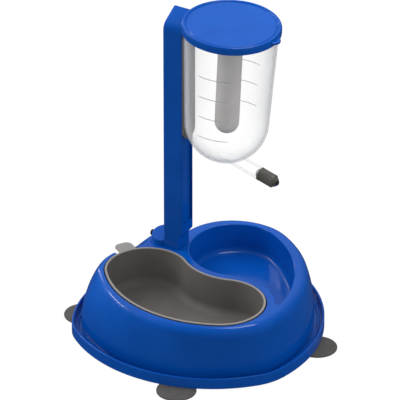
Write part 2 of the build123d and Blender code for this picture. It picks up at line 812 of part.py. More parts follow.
with BuildPart() as bottle_body:
    with BuildSketch(bottle_profile()):
        with BuildLine():
            bottle_outline()
        make_face()
        with Locations((bottle_radius, rim_level - bottle_bead_height / 2)):
            Rectangle(2 * bottle_bead, bottle_bead_height)
    revolve(axis=bottle_axis)
    with BuildSketch(spout_profile):
        with BuildLine():
            Line((neck_length, 0), (neck_length, neck_radius))
            Line((neck_length, neck_radius), (0, neck_radius))
            Line((0, neck_radius), (0, spout_radius))
            Line((0, spout_radius), (-spout_length, spout_radius))
            CenterArc((-spout_length, 0), spout_radius, 90, 90)
            Line((-spout_length - spout_radius, 0), (neck_length, 0))
        make_face()
    revolve(axis=spout_axis)
    with BuildSketch(Plane.XY.offset(track_seat + seat_gap)):
        with Locations((holder_face - track_mouth - track_clearance - track_depth / 2, post_centre[1])):
            Rectangle(track_depth - track_clearance, track_head)
        with Locations(((rail_root + holder_face - track_mouth - track_clearance) / 2, post_centre[1])):
            Rectangle(rail_root - holder_face + track_mouth + 2 * track_clearance, track_neck)
    extrude(amount=track_length)
    for side in mark_side_angles:
        for i in range(mark_count):
            level = rim_level - bottle_length + mark_lowest + i * mark_pitch
            radius = bottle_radius + (level - rim_level) * tan(radians(bottle_taper))
            with BuildSketch(bottle_profile(side - mark_angle / 2)):
                with Locations((radius, level)):
                    Rectangle(2 * mark_relief, mark_width)
            revolve(axis=bottle_axis, revolution_arc=mark_angle)
    add(bottle_hollow.part, mode=Mode.SUBTRACT)
    with BuildSketch(spout_profile):
        with BuildLine():
            Line((neck_length, 0), (neck_length, spout_bore))
            Line((neck_length, spout_bore), (-spout_length, spout_bore))
            CenterArc((-spout_length, 0), spout_bore, 90, 90)
            Line((-spout_length - spout_bore, 0), (neck_length, 0))
        make_face()
    revolve(axis=spout_axis, mode=Mode.SUBTRACT)
bottle_body.part.label = "bottle_body"

skirt_inside = bottle_radius + bottle_bead + lid_skirt_clearance
plug_outside = bottle_radius - bottle_wall - lid_skirt_clearance - lid_plug_depth * tan(radians(bottle_taper))
collar_inside = tube_radius + push_fit

# Lid: plate with a skirt outside the bottle's rim, a plug inside it and a pull tab
with BuildPart() as bottle_lid:
    with BuildSketch(bottle_profile()):
        with BuildLine():
            Polyline(
                (0, -lid_plate),
                (0, 0),
                (lid_ring_radius - lid_ring_width / 2, 0),
                (lid_ring_radius - lid_ring_width / 4, lid_ring_height),
                (lid_ring_radius + lid_ring_width / 4, lid_ring_height),
                (lid_ring_radius + lid_ring_width / 2, 0),
                (lid_radius - lid_edge, 0),
            )
            CenterArc((lid_radius - lid_edge, -lid_edge), lid_edge, 0, 90)
            Polyline(
                (lid_radius, -lid_edge),
                (lid_radius, -lid_height),
                (skirt_inside, -lid_height),
                (skirt_inside, -lid_plate),
                (plug_outside, -lid_plate),
                (plug_outside, -lid_plate - lid_plug_depth),
                (plug_outside - lid_plug_wall, -lid_plate - lid_plug_depth),
                (plug_outside - lid_plug_wall, -lid_plate),
                (collar_inside + tube_socket_wall, -lid_plate),
                (collar_inside + tube_socket_wall, -lid_plate - tube_socket_depth),
                (collar_inside, -lid_plate - tube_socket_depth),
                (collar_inside, -lid_plate),
                (0, -lid_plate),
            )
        make_face()
    revolve(axis=bottle_axis)
    with BuildSketch(bottle_level(-lid_tab_drop - lid_tab_thickness)):
        with Locations((lid_tab_offset, 0)):
            Circle(lid_tab_radius)
        Circle(skirt_inside, mode=Mode.SUBTRACT)
    extrude(amount=lid_tab_thickness)
bottle_lid.part.label = "bottle_lid"

with BuildPart() as lid_gasket:
    with BuildSketch(bottle_level(rim_level + seat_gap)):
        Circle(bottle_radius + bottle_bead)
        Circle(bottle_radius - bottle_wall, mode=Mode.SUBTRACT)
    extrude(amount=gasket_thickness - 2 * seat_gap)
lid_gasket.part.label = "lid_gasket"

# Cooling tube: hangs from the lid down the middle of the bottle
with BuildPart() as ice_tube:
    with BuildSketch(bottle_profile()):
        with BuildLine():
            tube_top = -lid_plate - seat_gap
            bore = tube_radius - tube_wall
            Line((bore, tube_top), (tube_radius, tube_top))
            Line((tube_radius, tube_top), (tube_radius, tube_end))
            CenterArc((0, tube_end), tube_radius, 0, -90)
            Line((0, tube_end - tube_radius), (0, tube_end - bore))
            CenterArc((0, tube_end), bore, -90, 90)
            Line((bore, tube_end), (bore, tube_top))
        make_face()
    revolve(axis=bottle_axis)
ice_tube.part.label = "ice_tube"

# Spout cap, with the outlet lip that holds the ball
with BuildPart() as nozzle_cap:
    with BuildSketch(spout_profile):
        with BuildLine():
            Polyline(
                (0, neck_radius + push_fit / 2),
                (0, cap_radius),
                (cap_length - cap_chamfer, cap_radius),
                (cap_length, cap_radius - cap_chamfer),
                (cap_length, nib_radius),
                (cap_length + nib_length - outlet_edge, nib_radius),
                (cap_length + nib_length, nib_radius - outlet_edge),
                (cap_length + nib_length, outlet_radius),
                (cap_length + nib_length - outlet_seat, chamber_radius),
                (cap_shoulder, chamber_radius),
                (cap_shoulder, neck_radius + push_fit / 2),
                close=True,
            )
        make_face()
    revolve(axis=spout_axis)
nozzle_cap.part.label = "nozzle_cap"

with BuildPart() as valve_washer:
    with BuildSketch(spout_profile):
        with Locations((neck_length + washer_thickness / 2, (neck_radius + chamber_radius) / 2)):
            Rectangle(washer_thickness - 2 * seat_gap, neck_radius - chamber_radius)
    revolve(axis=spout_axis)
valve_washer.part.label = "valve_washer"

# Cage in the spout that backs the ball's spring, with crossed slots for the water
with BuildPart() as valve_cage:
    with BuildSketch(spout_profile):
        with BuildLine():
            Line((cage_front, cage_bore), (cage_front, cage_radius))
            Line((cage_front, cage_radius), (cage_back, cage_radius))
            nose = CenterArc((cage_back, 0), cage_radius, 90, 90 - cage_opening)
            Line(nose @ 1, (cage_front, cage_bore))
        make_face()
    revolve(axis=spout_axis)
    with BuildSketch(Plane(origin=along_spout(cage_back), z_dir=spout_way)):
        Rectangle(2 * cage_radius, cage_slot)
        Rectangle(cage_slot, 2 * cage_radius)
    extrude(amount=-cage_radius, mode=Mode.SUBTRACT)
valve_cage.part.label = "valve_cage"

with BuildPart() as valve_ball:
    with Locations(along_spout(ball_place)):
        Sphere(ball_radius)
valve_ball.part.label = "valve_ball"

valve_spring = coil(
    along_spout(cage_front + spring_wire / 2 + seat_gap),
    spout_way,
    ball_spring_radius,
    ball_spring_length,
    ball_spring_turns,
)

os.makedirs("parts", exist_ok=True)
pieces = {
    "base_tray": base_tray.part,
    "base_shell": base_shell.part,
    "tray_screws": tray_screws.part,
    "foot_left": feet[0],
    "foot_front": feet[1],
    "foot_right": feet[2],
    "foot_back": feet[3],
    "food_bowl": food_bowl.part,
    "post": post.part,
    "latch_plunger": latch_plunger.part,
    "latch_cap": latch_cap.part,
    "latch_spring": latch_spring,
    "bottle_holder": bottle_holder.part,
    "bottle_body": bottle_body.part,
    "bottle_lid": bottle_lid.part,
    "lid_gasket": lid_gasket.part,
    "ice_tube": ice_tube.part,
    "nozzle_cap": nozzle_cap.part,
    "valve_washer": valve_washer.part,
    "valve_cage": valve_cage.part,
    "valve_spring": valve_spring,
    "valve_ball": valve_ball.part,
}
for name, piece in pieces.items():
    piece.label = name
    export_step(piece, f"parts/{name}.step")
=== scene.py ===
"""Looks of the double pet bowl with its bottle on a post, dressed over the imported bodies."""

import math

import bmesh
import bpy
import numpy as np
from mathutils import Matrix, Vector


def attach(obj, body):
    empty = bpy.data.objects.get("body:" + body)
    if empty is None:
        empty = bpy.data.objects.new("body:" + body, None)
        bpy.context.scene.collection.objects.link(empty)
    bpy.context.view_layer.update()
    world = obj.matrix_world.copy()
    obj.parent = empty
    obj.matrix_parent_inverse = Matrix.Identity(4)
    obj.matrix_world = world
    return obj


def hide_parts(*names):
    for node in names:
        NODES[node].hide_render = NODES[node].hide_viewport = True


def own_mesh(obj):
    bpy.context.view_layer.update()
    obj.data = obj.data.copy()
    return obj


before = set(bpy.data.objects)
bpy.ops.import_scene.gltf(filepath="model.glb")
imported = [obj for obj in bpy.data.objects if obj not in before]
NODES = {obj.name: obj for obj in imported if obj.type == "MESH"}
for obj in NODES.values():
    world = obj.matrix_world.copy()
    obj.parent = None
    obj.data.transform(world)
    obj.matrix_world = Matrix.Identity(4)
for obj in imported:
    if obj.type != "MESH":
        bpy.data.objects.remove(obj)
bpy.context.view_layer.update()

MM = 0.001


# Camera: a long lens, as the photograph's view has hardly any perspective
VIEW_AZIMUTH = 31.0
VIEW_ELEVATION = 30.0
VIEW_DISTANCE = 6.0
VIEW_HEIGHT = 0.1533
VIEW_ASIDE = -0.00032
VIEW_REACH = 50.0
PICTURE_WIDTH = 0.428
SENSOR_WIDTH = 36.0


def towards(azimuth, elevation):
    """Unit vector from the object to a place at an azimuth and elevation; azimuth 0 is the -Y side."""
    turn = math.radians(azimuth)
    rise = math.radians(elevation)
    return Vector((
        math.cos(rise) * math.sin(turn),
        -math.cos(rise) * math.cos(turn),
        math.sin(rise),
    ))


def place_camera():
    """Camera on a line at the photograph's azimuth and elevation, wide enough for the picture at the object."""
    azimuth = math.radians(VIEW_AZIMUTH)
    right = Vector((math.cos(azimuth), math.sin(azimuth), 0.0))
    away = towards(VIEW_AZIMUTH, VIEW_ELEVATION)
    target = Vector((0.0, 0.0, VIEW_HEIGHT)) + right * VIEW_ASIDE
    data = bpy.data.cameras.new("view")
    data.sensor_width = SENSOR_WIDTH
    data.lens = SENSOR_WIDTH * VIEW_DISTANCE / PICTURE_WIDTH
    data.clip_end = VIEW_REACH
    camera = bpy.data.objects.new("view", data)
    camera.location = target + away * VIEW_DISTANCE
    camera.rotation_euler = (-away).to_track_quat("-Z", "Y").to_euler()
    bpy.context.scene.collection.objects.link(camera)
    bpy.context.scene.camera = camera


# Materials

# Most values of a noise lie between these two
NOISE_LOW = 0.3
NOISE_HIGH = 0.7


def linear(code):
    """sRGB hex code as linear RGBA."""
    values = [int(code[i:i + 2], 16) / 255.0 for i in (0, 2, 4)]
    return tuple(v / 12.92 if v <= 0.04045 else ((v + 0.055) / 1.055) ** 2.4 for v in values) + (1.0,)


def pitch(size):
    """Scale of a texture whose features are this many millimetres apart."""
    return 1.0 / (size * MM)


def add(tree, kind, inputs=None, **settings):
    """Adds a node, sets its properties, and gives each named input a value or the socket that feeds it."""
    node = tree.nodes.new(kind)
    for name, value in settings.items():
        setattr(node, name, value)
    for name, value in (inputs or {}).items():
        if isinstance(value, bpy.types.NodeSocket):
            tree.links.new(value, node.inputs[name])
        else:
            node.inputs[name].default_value = value
    return node


def maths(tree, operation, *values):
    """Result of a math node on numbers or sockets."""
    return add(tree, "ShaderNodeMath", dict(enumerate(values)), operation=operation).outputs["Value"]


def start_material(name):
    """Empty node material; returns it with its tree and the object coordinates."""
    material = bpy.data.materials.new(name)
    material.use_nodes = True
    tree = material.node_tree
    tree.nodes.clear()
    place = add(tree, "ShaderNodeTexCoord").outputs["Object"]
    return material, tree, place


def noise(tree, place, size, detail=3.0, roughness=0.5):
    """Value of soft noise with features of a size in millimetres."""
    inputs = {"Vector": place, "Scale": pitch(size), "Detail": detail, "Roughness": roughness}
    return add(tree, "ShaderNodeTexNoise", inputs).outputs["Fac"]


def spread(tree, value, low, high):
    """Noise value moved from its usual range to low to high."""
    inputs = {"Value": value, "From Min": NOISE_LOW, "From Max": NOISE_HIGH, "To Min": low, "To Max": high}
    return add(tree, "ShaderNodeMapRange", inputs).outputs["Result"]


def tint(tree, value, low, high):
    """Colour between two hex codes as the noise value goes through its usual range."""
    ramp = add(tree, "ShaderNodeValToRGB", {"Fac": value})
    for stop, place, code in zip(ramp.color_ramp.elements, (NOISE_LOW, NOISE_HIGH), (low, high)):
        stop.position = place
        stop.color = linear(code)
    return ramp.outputs["Color"]


def relief(tree, height, depth):
    """Bump of a real depth in millimetres."""
    return add(tree, "ShaderNodeBump", {"Height": height, "Distance": depth * MM}).outputs["Normal"]


def finish_material(material, tree, shader):
    """Sends a shader to the output and returns the material."""
    add(tree, "ShaderNodeOutputMaterial", {"Surface": shader})
    return material


def moulded_abs(name, low, high, gloss, peel_depth):
    """ABS from a polished mould: deep even colour, faint flow marks and a slight orange peel in its gloss."""
    material, tree, place = start_material(name)
    flow = noise(tree, place, 45.0, detail=2.0)
    smear = noise(tree, place, 7.0, detail=4.0, roughness=0.6)
    peel = noise(tree, place, 3.2, detail=2.0)
    shader = add(tree, "ShaderNodeBsdfPrincipled", {
        "Base Color": tint(tree, flow, low, high),
        "Roughness": spread(tree, smear, gloss, gloss + 0.09),
        "IOR": 1.5,
        "Normal": relief(tree, peel, peel_depth),
    })
    return finish_material(material, tree, shader.outputs["BSDF"])


def satin_polypropylene(name, low, high, sheen_roughness, grain, lip=None):
    """Polypropylene or acetal from an etched mould: satin, with an even grain of pits.

    A lip of (start, end, colour) is a painted highlight: the colour goes paler from one height in millimetres to
    the other.
    """
    material, tree, place = start_material(name)
    flow = noise(tree, place, 30.0, detail=3.0)
    rub = noise(tree, place, 11.0, detail=4.0, roughness=0.65)
    pits = noise(tree, place, grain, detail=2.0)
    colour = tint(tree, flow, low, high)
    if lip is not None:
        start, end, pale = lip
        # Painted highlight: from the start height to the end height the colour turns to the pale one, and stays
        # pale above
        height = add(tree, "ShaderNodeSeparateXYZ", {"Vector": place}).outputs["Z"]
        edge = {"Value": height, "From Min": start * MM, "From Max": end * MM}
        highlight_share = add(tree, "ShaderNodeMapRange", edge).outputs["Result"]
        # Sockets 6, 7 and 2 are the mix node's first colour, second colour and result
        colour = add(tree, "ShaderNodeMix", {0: highlight_share, 6: colour, 7: linear(pale)}, data_type="RGBA").outputs[2]
    shader = add(tree, "ShaderNodeBsdfPrincipled", {
        "Base Color": colour,
        "Roughness": spread(tree, rub, sheen_roughness, sheen_roughness + 0.12),
        "IOR": 1.49,
        "Normal": relief(tree, pits, 0.035),
    })
    return finish_material(material, tree, shader.outputs["BSDF"])


def soft_elastomer(name, low, high):
    """Thermoplastic elastomer: matt and soft, a little dusty, with an even grain."""
    material, tree, place = start_material(name)
    dust = noise(tree, place, 9.0, detail=4.0, roughness=0.6)
    grain = noise(tree, place, 0.9, detail=2.0)
    shader = add(tree, "ShaderNodeBsdfPrincipled", {
        "Base Color": tint(tree, dust, low, high),
        "Roughness": spread(tree, dust, 0.52, 0.7),
        "IOR": 1.48,
        "Sheen Weight": 0.08,
        "Normal": relief(tree, grain, 0.04),
    })
    return finish_material(material, tree, shader.outputs["BSDF"])


# Clear wall: how steeply its edges turn milky, and the share of its shadow that is left out
VEIL_STEEPNESS = 2.2
SHADOW_RELIEF = 0.85


def clear_copolyester(name, milk, face_on, edge_on, gloss):
    """Blow-moulded clear copolyester: seen through face on, milky towards its edges, with slow waves.

    Its cover goes from face_on to edge_on as the view grows flatter, and its shadow is thin.
    """
    material, tree, place = start_material(name)
    wave = noise(tree, place, 26.0, detail=1.0)
    haze = noise(tree, place, 14.0, detail=3.0)
    facing = add(tree, "ShaderNodeLayerWeight", {"Blend": 0.5}).outputs["Facing"]
    steep = maths(tree, "POWER", facing, VEIL_STEEPNESS)
    veil = add(tree, "ShaderNodeMapRange", {"Value": steep, "To Min": face_on, "To Max": edge_on}).outputs["Result"]
    shadow = add(tree, "ShaderNodeLightPath").outputs["Is Shadow Ray"]
    cover = maths(tree, "MULTIPLY", veil, maths(tree, "MULTIPLY_ADD", shadow, -SHADOW_RELIEF, 1.0))
    shader = add(tree, "ShaderNodeBsdfPrincipled", {
        "Base Color": linear(milk),
        "Roughness": spread(tree, haze, gloss, gloss + 0.08),
        "IOR": 1.57,
        "Alpha": cover,
        "Normal": relief(tree, wave, 0.12),
    })
    return finish_material(material, tree, shader.outputs["BSDF"])


# How far light strays inside smoke grey styrene, in millimetres
SMOKE_DEPTH = 4.0


def smoke_styrene(name, low, high):
    """Smoke grey styrene, frosted by its mould: dull, slightly cloudy, with a soft glow from inside."""
    material, tree, place = start_material(name)
    cloud = noise(tree, place, 24.0, detail=3.0)
    frost = noise(tree, place, 1.2, detail=2.0)
    shader = add(tree, "ShaderNodeBsdfPrincipled", {
        "Base Color": tint(tree, cloud, low, high),
        "Roughness": spread(tree, cloud, 0.42, 0.52),
        "IOR": 1.5,
        "Subsurface Weight": 0.12,
        "Subsurface Radius": (SMOKE_DEPTH * MM,) * 3,
        "Subsurface Scale": 1.0,
        "Normal": relief(tree, frost, 0.015),
    })
    return finish_material(material, tree, shader.outputs["BSDF"])


def drawn_steel(name, low, high, roughness):
    """Steel, drawn or zinc plated: bright metal with fine lines and a slightly uneven polish."""
    material, tree, place = start_material(name)
    polish = noise(tree, place, 4.0, detail=3.0)
    lines = noise(tree, place, 0.35, detail=2.0)
    shader = add(tree, "ShaderNodeBsdfPrincipled", {
        "Base Color": tint(tree, polish, low, high),
        "Metallic": 1.0,
        "Roughness": spread(tree, polish, roughness, roughness + 0.12),
        "Normal": relief(tree, lines, 0.006),
    })
    return finish_material(material, tree, shader.outputs["BSDF"])


# Food bowl's lip: a painted highlight, paler from one height in millimetres to the other
BOWL_LIP_HIGHLIGHT = (68.8, 70.1, "918E8B")

blue_abs = moulded_abs("moulded_blue_abs", "024EAC", "0655B7", 0.1, 0.012)
grey_polypropylene = satin_polypropylene("satin_grey_polypropylene", "66625F", "6E6A67", 0.52, 1.1, BOWL_LIP_HIGHLIGHT)
grey_elastomer = soft_elastomer("soft_grey_elastomer", "524F4A", "5B5853")
bottle_clear = clear_copolyester("clear_copolyester", "EFF1F4", 0.02, 0.62, 0.06)
mark_clear = clear_copolyester("frosted_copolyester", "9A9DA1", 0.42, 0.62, 0.5)
smoke_grey = smoke_styrene("smoke_styrene", "CECBC9", "D5D2D0")
holder_grey = smoke_styrene("dark_smoke_styrene", "686563", "716E6C")
charcoal_polypropylene = satin_polypropylene("charcoal_polypropylene", "5A5751", "63605A", 0.36, 0.9)
pale_acetal = satin_polypropylene("pale_acetal", "B4B5B6", "C0C1C2", 0.3, 0.9)
black_acetal = satin_polypropylene("black_acetal", "17171A", "1E1E21", 0.32, 0.9)
spring_steel = drawn_steel("drawn_spring_steel", "A9ABAE", "C3C5C8", 0.22)
screw_steel = drawn_steel("zinc_plated_steel", "A2A3A0", "B9B9B4", 0.3)

FINISHES = {
    "base_tray": blue_abs,
    "base_shell": blue_abs,
    "tray_screws": screw_steel,
    "foot_left": grey_elastomer,
    "foot_front": grey_elastomer,
    "foot_right": grey_elastomer,
    "foot_back": grey_elastomer,
    "food_bowl": grey_polypropylene,
    "post": blue_abs,
    "latch_plunger": black_acetal,
    "latch_cap": black_acetal,
    "latch_spring": spring_steel,
    "bottle_holder": holder_grey,
    "bottle_body": bottle_clear,
    "bottle_lid": blue_abs,
    "lid_gasket": grey_elastomer,
    "ice_tube": smoke_grey,
    "nozzle_cap": charcoal_polypropylene,
    "valve_washer": grey_elastomer,
    "valve_cage": pale_acetal,
    "valve_spring": spring_steel,
    "valve_ball": spring_steel,
}


def dress_nodes():
    """Gives each carried-over piece its material."""
    for name, material in FINISHES.items():
        mesh = NODES[name].data
        mesh.materials.clear()
        mesh.materials.append(material)


# Surfaces, worked out in millimetres
BEND_STEPS = 7
FLAT_KEEP = 1.3
SLIM_STEPS = 12
WELD = 0.002


def unit(vectors):
    """Vectors scaled to length one, along their last axis."""
    return vectors / np.linalg.norm(vectors, axis=-1, keepdims=True)


def soft_profile(corners):
    """Line through corners of (radius, height, bend).

    Each corner p becomes the curve (1 - s)^2 a + 2 (1 - s) s p + s^2 b, where a and b lie one bend away from it on
    its two sides, with one more point a little further along each side to keep the flats flat.
    """
    corners = np.array(corners, float)
    point = corners[:, None, :2]
    bend = corners[:, None, 2:]
    before = unit(np.roll(point, 1, 0) - point) * bend
    after = unit(np.roll(point, -1, 0) - point) * bend
    s = np.linspace(0.0, 1.0, BEND_STEPS)[None, :, None]
    curve = point + (1 - s) ** 2 * before + s ** 2 * after
    return np.concatenate([point + FLAT_KEEP * before, curve, point + FLAT_KEEP * after], axis=1).reshape(-1, 2)


def turned(profile, place, along, across, columns, grooves=0.0, count=1):
    """Profile turned about an axis, fluted by grooves of a depth.

    Point = place + height * along + (radius - depth * (1 - cos(count * a)) / 2) * around, where
    around = cos a * across + sin a * aside, for a from 0 to a full turn; the depth may change along the profile.
    """
    angle = np.linspace(0.0, 2.0 * np.pi, columns, endpoint=False)[None, :, None]
    aside = np.cross(along, across)
    around = np.cos(angle) * across + np.sin(angle) * aside
    depth = np.reshape(grooves, (-1, 1, 1)) * (1.0 - np.cos(count * angle)) / 2.0
    return place + profile[:, None, 1:2] * along + (profile[:, None, 0:1] - depth) * around


def make_piece(name, sheets, closed, body, material):
    """Mesh of grids of points that each wrap along their columns and, if closed, along their rows too."""
    points = np.concatenate([sheet.reshape(-1, 3) for sheet in sheets]) * MM
    quads = []
    first = 0
    for sheet in sheets:
        rows, columns = sheet.shape[:2]
        index = first + np.arange(rows * columns).reshape(rows, columns)
        index = np.concatenate([index, index[:, :1]], axis=1)
        if closed:
            index = np.concatenate([index, index[:1]], axis=0)
        corners = [index[:-1, :-1], index[:-1, 1:], index[1:, 1:], index[1:, :-1]]
        quads.append(np.stack(corners, axis=-1).reshape(-1, 4))
        first += rows * columns
    mesh = bpy.data.meshes.new(name)
    mesh.from_pydata(points.tolist(), [], np.concatenate(quads).tolist())
    work = bmesh.new()
    work.from_mesh(mesh)
    bmesh.ops.remove_doubles(work, verts=work.verts, dist=WELD * MM)
    bmesh.ops.dissolve_degenerate(work, edges=work.edges, dist=WELD * MM)
    bmesh.ops.recalc_face_normals(work, faces=work.faces)
    work.to_mesh(mesh)
    work.free()
    mesh.shade_smooth()
    mesh.materials.append(material)
    piece = bpy.data.objects.new(name, mesh)
    bpy.context.scene.collection.objects.link(piece)
    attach(piece, body)
    return piece


# Level direction across the bottle, its spout and the springs
LEVEL_SIDE = np.array([0.0, 1.0, 0.0])

# Bottle's own axis, which leans forward so that its tapered back stands upright
LID_TOP = np.array([20.3, 30.5, 358.0])
BOTTLE_LEAN = math.radians(2.7)
BOTTLE_UP = np.array([math.sin(BOTTLE_LEAN), 0.0, math.cos(BOTTLE_LEAN)])
BOTTLE_AHEAD = np.array([math.cos(BOTTLE_LEAN), 0.0, -math.sin(BOTTLE_LEAN)])
BOTTLE_RADIUS = 50.8
RIM_LEVEL = -3.2
BOTTLE_LENGTH = 115.0

LID_COLUMNS = 192
LID_RADIUS = 53.5
LID_PLATE = 2.2
LID_SKIRT = 7.5
SKIRT_INSIDE = 51.8
PLUG_OUTSIDE = 48.6
PLUG_WALL = 1.8
PLUG_END = 8.2
TUBE_COLLAR = 13.3
RIM_INSIDE = 49.4
RIM_RISE = 0.75
RIM_ROLL = 1.3
RIM_DROP = 1.0
RIM_GROOVE = 0.7
GROOVE_START = 1.9
GROOVE_FLOOR = 1.2
GROOVE_END = 0.5
TAB_COLUMNS = 96
TAB_OFFSET = 51.0
TAB_RADIUS = 8.0
TAB_TOP = -1.5
TAB_THICKNESS = 3.0
TAB_BEND = 1.1
TAB_LAP = 0.6


def make_lid():
    """Lid turned about the bottle's axis: flat top, fine groove, rolled rim, skirt and plug; and its pull tab.

    The tab is a turned disc beside the axis, whose points nearer to the axis than the skirt are moved out onto it.
    """
    top = [
        (0.0, 0.0, 0.0),
        (RIM_INSIDE - GROOVE_START, 0.0, 0.35),
        (RIM_INSIDE - GROOVE_FLOOR, -RIM_GROOVE, 0.25),
        (RIM_INSIDE - GROOVE_END, -RIM_GROOVE, 0.25),
        (RIM_INSIDE + GROOVE_END, RIM_RISE, 0.7),
        (LID_RADIUS - RIM_ROLL, RIM_RISE, 1.0),
        (LID_RADIUS, -RIM_DROP, 1.0),
        (LID_RADIUS, -LID_SKIRT, 0.4),
    ]
    under = [
        (SKIRT_INSIDE, -LID_SKIRT, 0.4),
        (SKIRT_INSIDE, -LID_PLATE, 0.3),
        (PLUG_OUTSIDE, -LID_PLATE, 0.3),
        (PLUG_OUTSIDE, -PLUG_END, 0.4),
        (PLUG_OUTSIDE - PLUG_WALL, -PLUG_END, 0.4),
        (PLUG_OUTSIDE - PLUG_WALL, -LID_PLATE, 0.3),
        (TUBE_COLLAR + PLUG_WALL, -LID_PLATE, 0.3),
        (TUBE_COLLAR + PLUG_WALL, -PLUG_END, 0.4),
        (TUBE_COLLAR, -PLUG_END, 0.4),
        (TUBE_COLLAR, -LID_PLATE, 0.3),
        (0.0, -LID_PLATE, 0.0),
    ]
    cover = turned(soft_profile(top + under), LID_TOP, BOTTLE_UP, BOTTLE_AHEAD, LID_COLUMNS)
    disc = soft_profile([
        (0.0, TAB_TOP, 0.0),
        (TAB_RADIUS, TAB_TOP, TAB_BEND),
        (TAB_RADIUS, TAB_TOP - TAB_THICKNESS, TAB_BEND),
        (0.0, TAB_TOP - TAB_THICKNESS, 0.0),
    ])
    tab = turned(disc, LID_TOP + TAB_OFFSET * BOTTLE_AHEAD, BOTTLE_UP, BOTTLE_AHEAD, TAB_COLUMNS)
    height = (tab - LID_TOP) @ BOTTLE_UP
    outwards = tab - LID_TOP - height[..., None] * BOTTLE_UP
    reach = np.linalg.norm(outwards, axis=-1, keepdims=True)
    tab = tab + outwards * (np.maximum(reach, SKIRT_INSIDE + TAB_LAP) / reach - 1.0)
    lid = make_piece("lid_cover", [cover, tab], False, "lid", blue_abs)
    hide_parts("bottle_lid")


MARK_COUNT = 4
MARK_PITCH = 24.8
MARK_LOWEST = 0.5
MARK_SIDES = [-80.0, 100.0]
MARK_ANGLE = 46.0
MARK_WIDTH = 0.9
MARK_RELIEF = 0.5
MARK_ROWS = 49
MARK_POINT = 10


def make_level_marks():
    """Frosted level marks: slim pads along arcs of the bottle, round in section and drawn out to points.

    For u from -1 to 1 along the arc and t round the section, with e = sqrt(1 - u^10):
    radius = wall + relief * e * sin t, height = level + width / 2 * e * cos t.
    """
    u = np.linspace(-1.0, 1.0, MARK_ROWS)[:, None]
    t = np.linspace(0.0, 2.0 * np.pi, SLIM_STEPS, endpoint=False)[None, :]
    ends = np.sqrt(1.0 - u ** MARK_POINT)
    aside = np.cross(BOTTLE_UP, BOTTLE_AHEAD)
    sheets = []
    for side in MARK_SIDES:
        angle = np.radians(side + u * MARK_ANGLE / 2.0)
        around = np.cos(angle)[..., None] * BOTTLE_AHEAD + np.sin(angle)[..., None] * aside
        for i in range(MARK_COUNT):
            level = RIM_LEVEL - BOTTLE_LENGTH + MARK_LOWEST + i * MARK_PITCH
            wall = BOTTLE_RADIUS + (level - RIM_LEVEL) * math.tan(BOTTLE_LEAN)
            radius = wall + MARK_RELIEF * ends * np.sin(t)
            height = level + MARK_WIDTH / 2.0 * ends * np.cos(t)
            sheets.append(LID_TOP + height[..., None] * BOTTLE_UP + radius[..., None] * around)
    make_piece("level_marks", sheets, False, "bottle", mark_clear)


SPOUT_SLOPE = math.radians(15.5)
SPOUT_END = np.array([55.6, 30.5, 187.6])
SPOUT_WAY = np.array([math.cos(SPOUT_SLOPE), 0.0, -math.sin(SPOUT_SLOPE)])
CAP_RADIUS = 7.4
CAP_BORE = 6.25
CAP_LENGTH = 19.5
CAP_CHAMFER = 1.2
CAP_SHOULDER = 10.0
NIB_RADIUS = 4.9
NIB_LENGTH = 2.2
NIB_BEVEL = 1.0
OUTLET_RADIUS = 3.8
CHAMBER_RADIUS = 4.25
GRIP_COUNT = 18
GRIP_DEPTH = 0.4
GRIP_START = 2.4
GRIP_END = 16.2
GRIP_RINGS = (0.3, 0.5, 0.7)
FLUTE_COLUMNS = 10
OUTER_SLACK = 0.05


def make_nozzle_cap():
    """Spout's cap turned about the spout: bore, fluted grip, chamfer and outlet nib.

    The flutes fade in and out along the grip as sin(pi * share)^(1/2) of their full depth.
    """
    profile = soft_profile([
        (CAP_BORE, 0.0, 0.15),
        (CAP_RADIUS, 0.0, 0.3),
        (CAP_RADIUS, GRIP_START, 0.3),
        *[(CAP_RADIUS, (GRIP_START + GRIP_END) * ring, 0.5) for ring in GRIP_RINGS],
        (CAP_RADIUS, GRIP_END, 0.3),
        (CAP_RADIUS, CAP_LENGTH - CAP_CHAMFER, 0.4),
        (CAP_RADIUS - CAP_CHAMFER, CAP_LENGTH, 0.4),
        (NIB_RADIUS, CAP_LENGTH, 0.2),
        (NIB_RADIUS, CAP_LENGTH + NIB_LENGTH, 0.5),
        (OUTLET_RADIUS, CAP_LENGTH + NIB_LENGTH, 0.15),
        (CHAMBER_RADIUS, CAP_LENGTH + NIB_LENGTH - NIB_BEVEL, 0.2),
        (CHAMBER_RADIUS, CAP_SHOULDER, 0.2),
        (CAP_BORE, CAP_SHOULDER, 0.2),
    ])
    share = np.clip((profile[:, 1] - GRIP_START) / (GRIP_END - GRIP_START), 0.0, 1.0)
    outer = profile[:, 0] > CAP_RADIUS - OUTER_SLACK
    depth = np.where(outer, GRIP_DEPTH * np.sqrt(np.clip(np.sin(np.pi * share), 0.0, 1.0)), 0.0)
    body = turned(profile, SPOUT_END, SPOUT_WAY, LEVEL_SIDE, FLUTE_COLUMNS * GRIP_COUNT, depth, GRIP_COUNT)
    cap = make_piece("fluted_cap", [body], True, "bottle", charcoal_polypropylene)
    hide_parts("nozzle_cap")


# Springs: where each starts and points, and its (length, coil radius, number of turns)
SPRING_WIRE = 0.5
TURN_STEPS = 40
WIRE_POINT = 200
LATCH_SPRING_START = np.array([-62.05, 30.5, 74.5])
LATCH_SPRING_WAY = np.array([-1.0, 0.0, 0.0])
LATCH_SPRING_SIZE = (8.3, 2.2, 7)
VALVE_SPRING_PLACE = 9.1
VALVE_SPRING_START = SPOUT_END + VALVE_SPRING_PLACE * SPOUT_WAY
VALVE_SPRING_SIZE = (8.389, 2.6, 8)


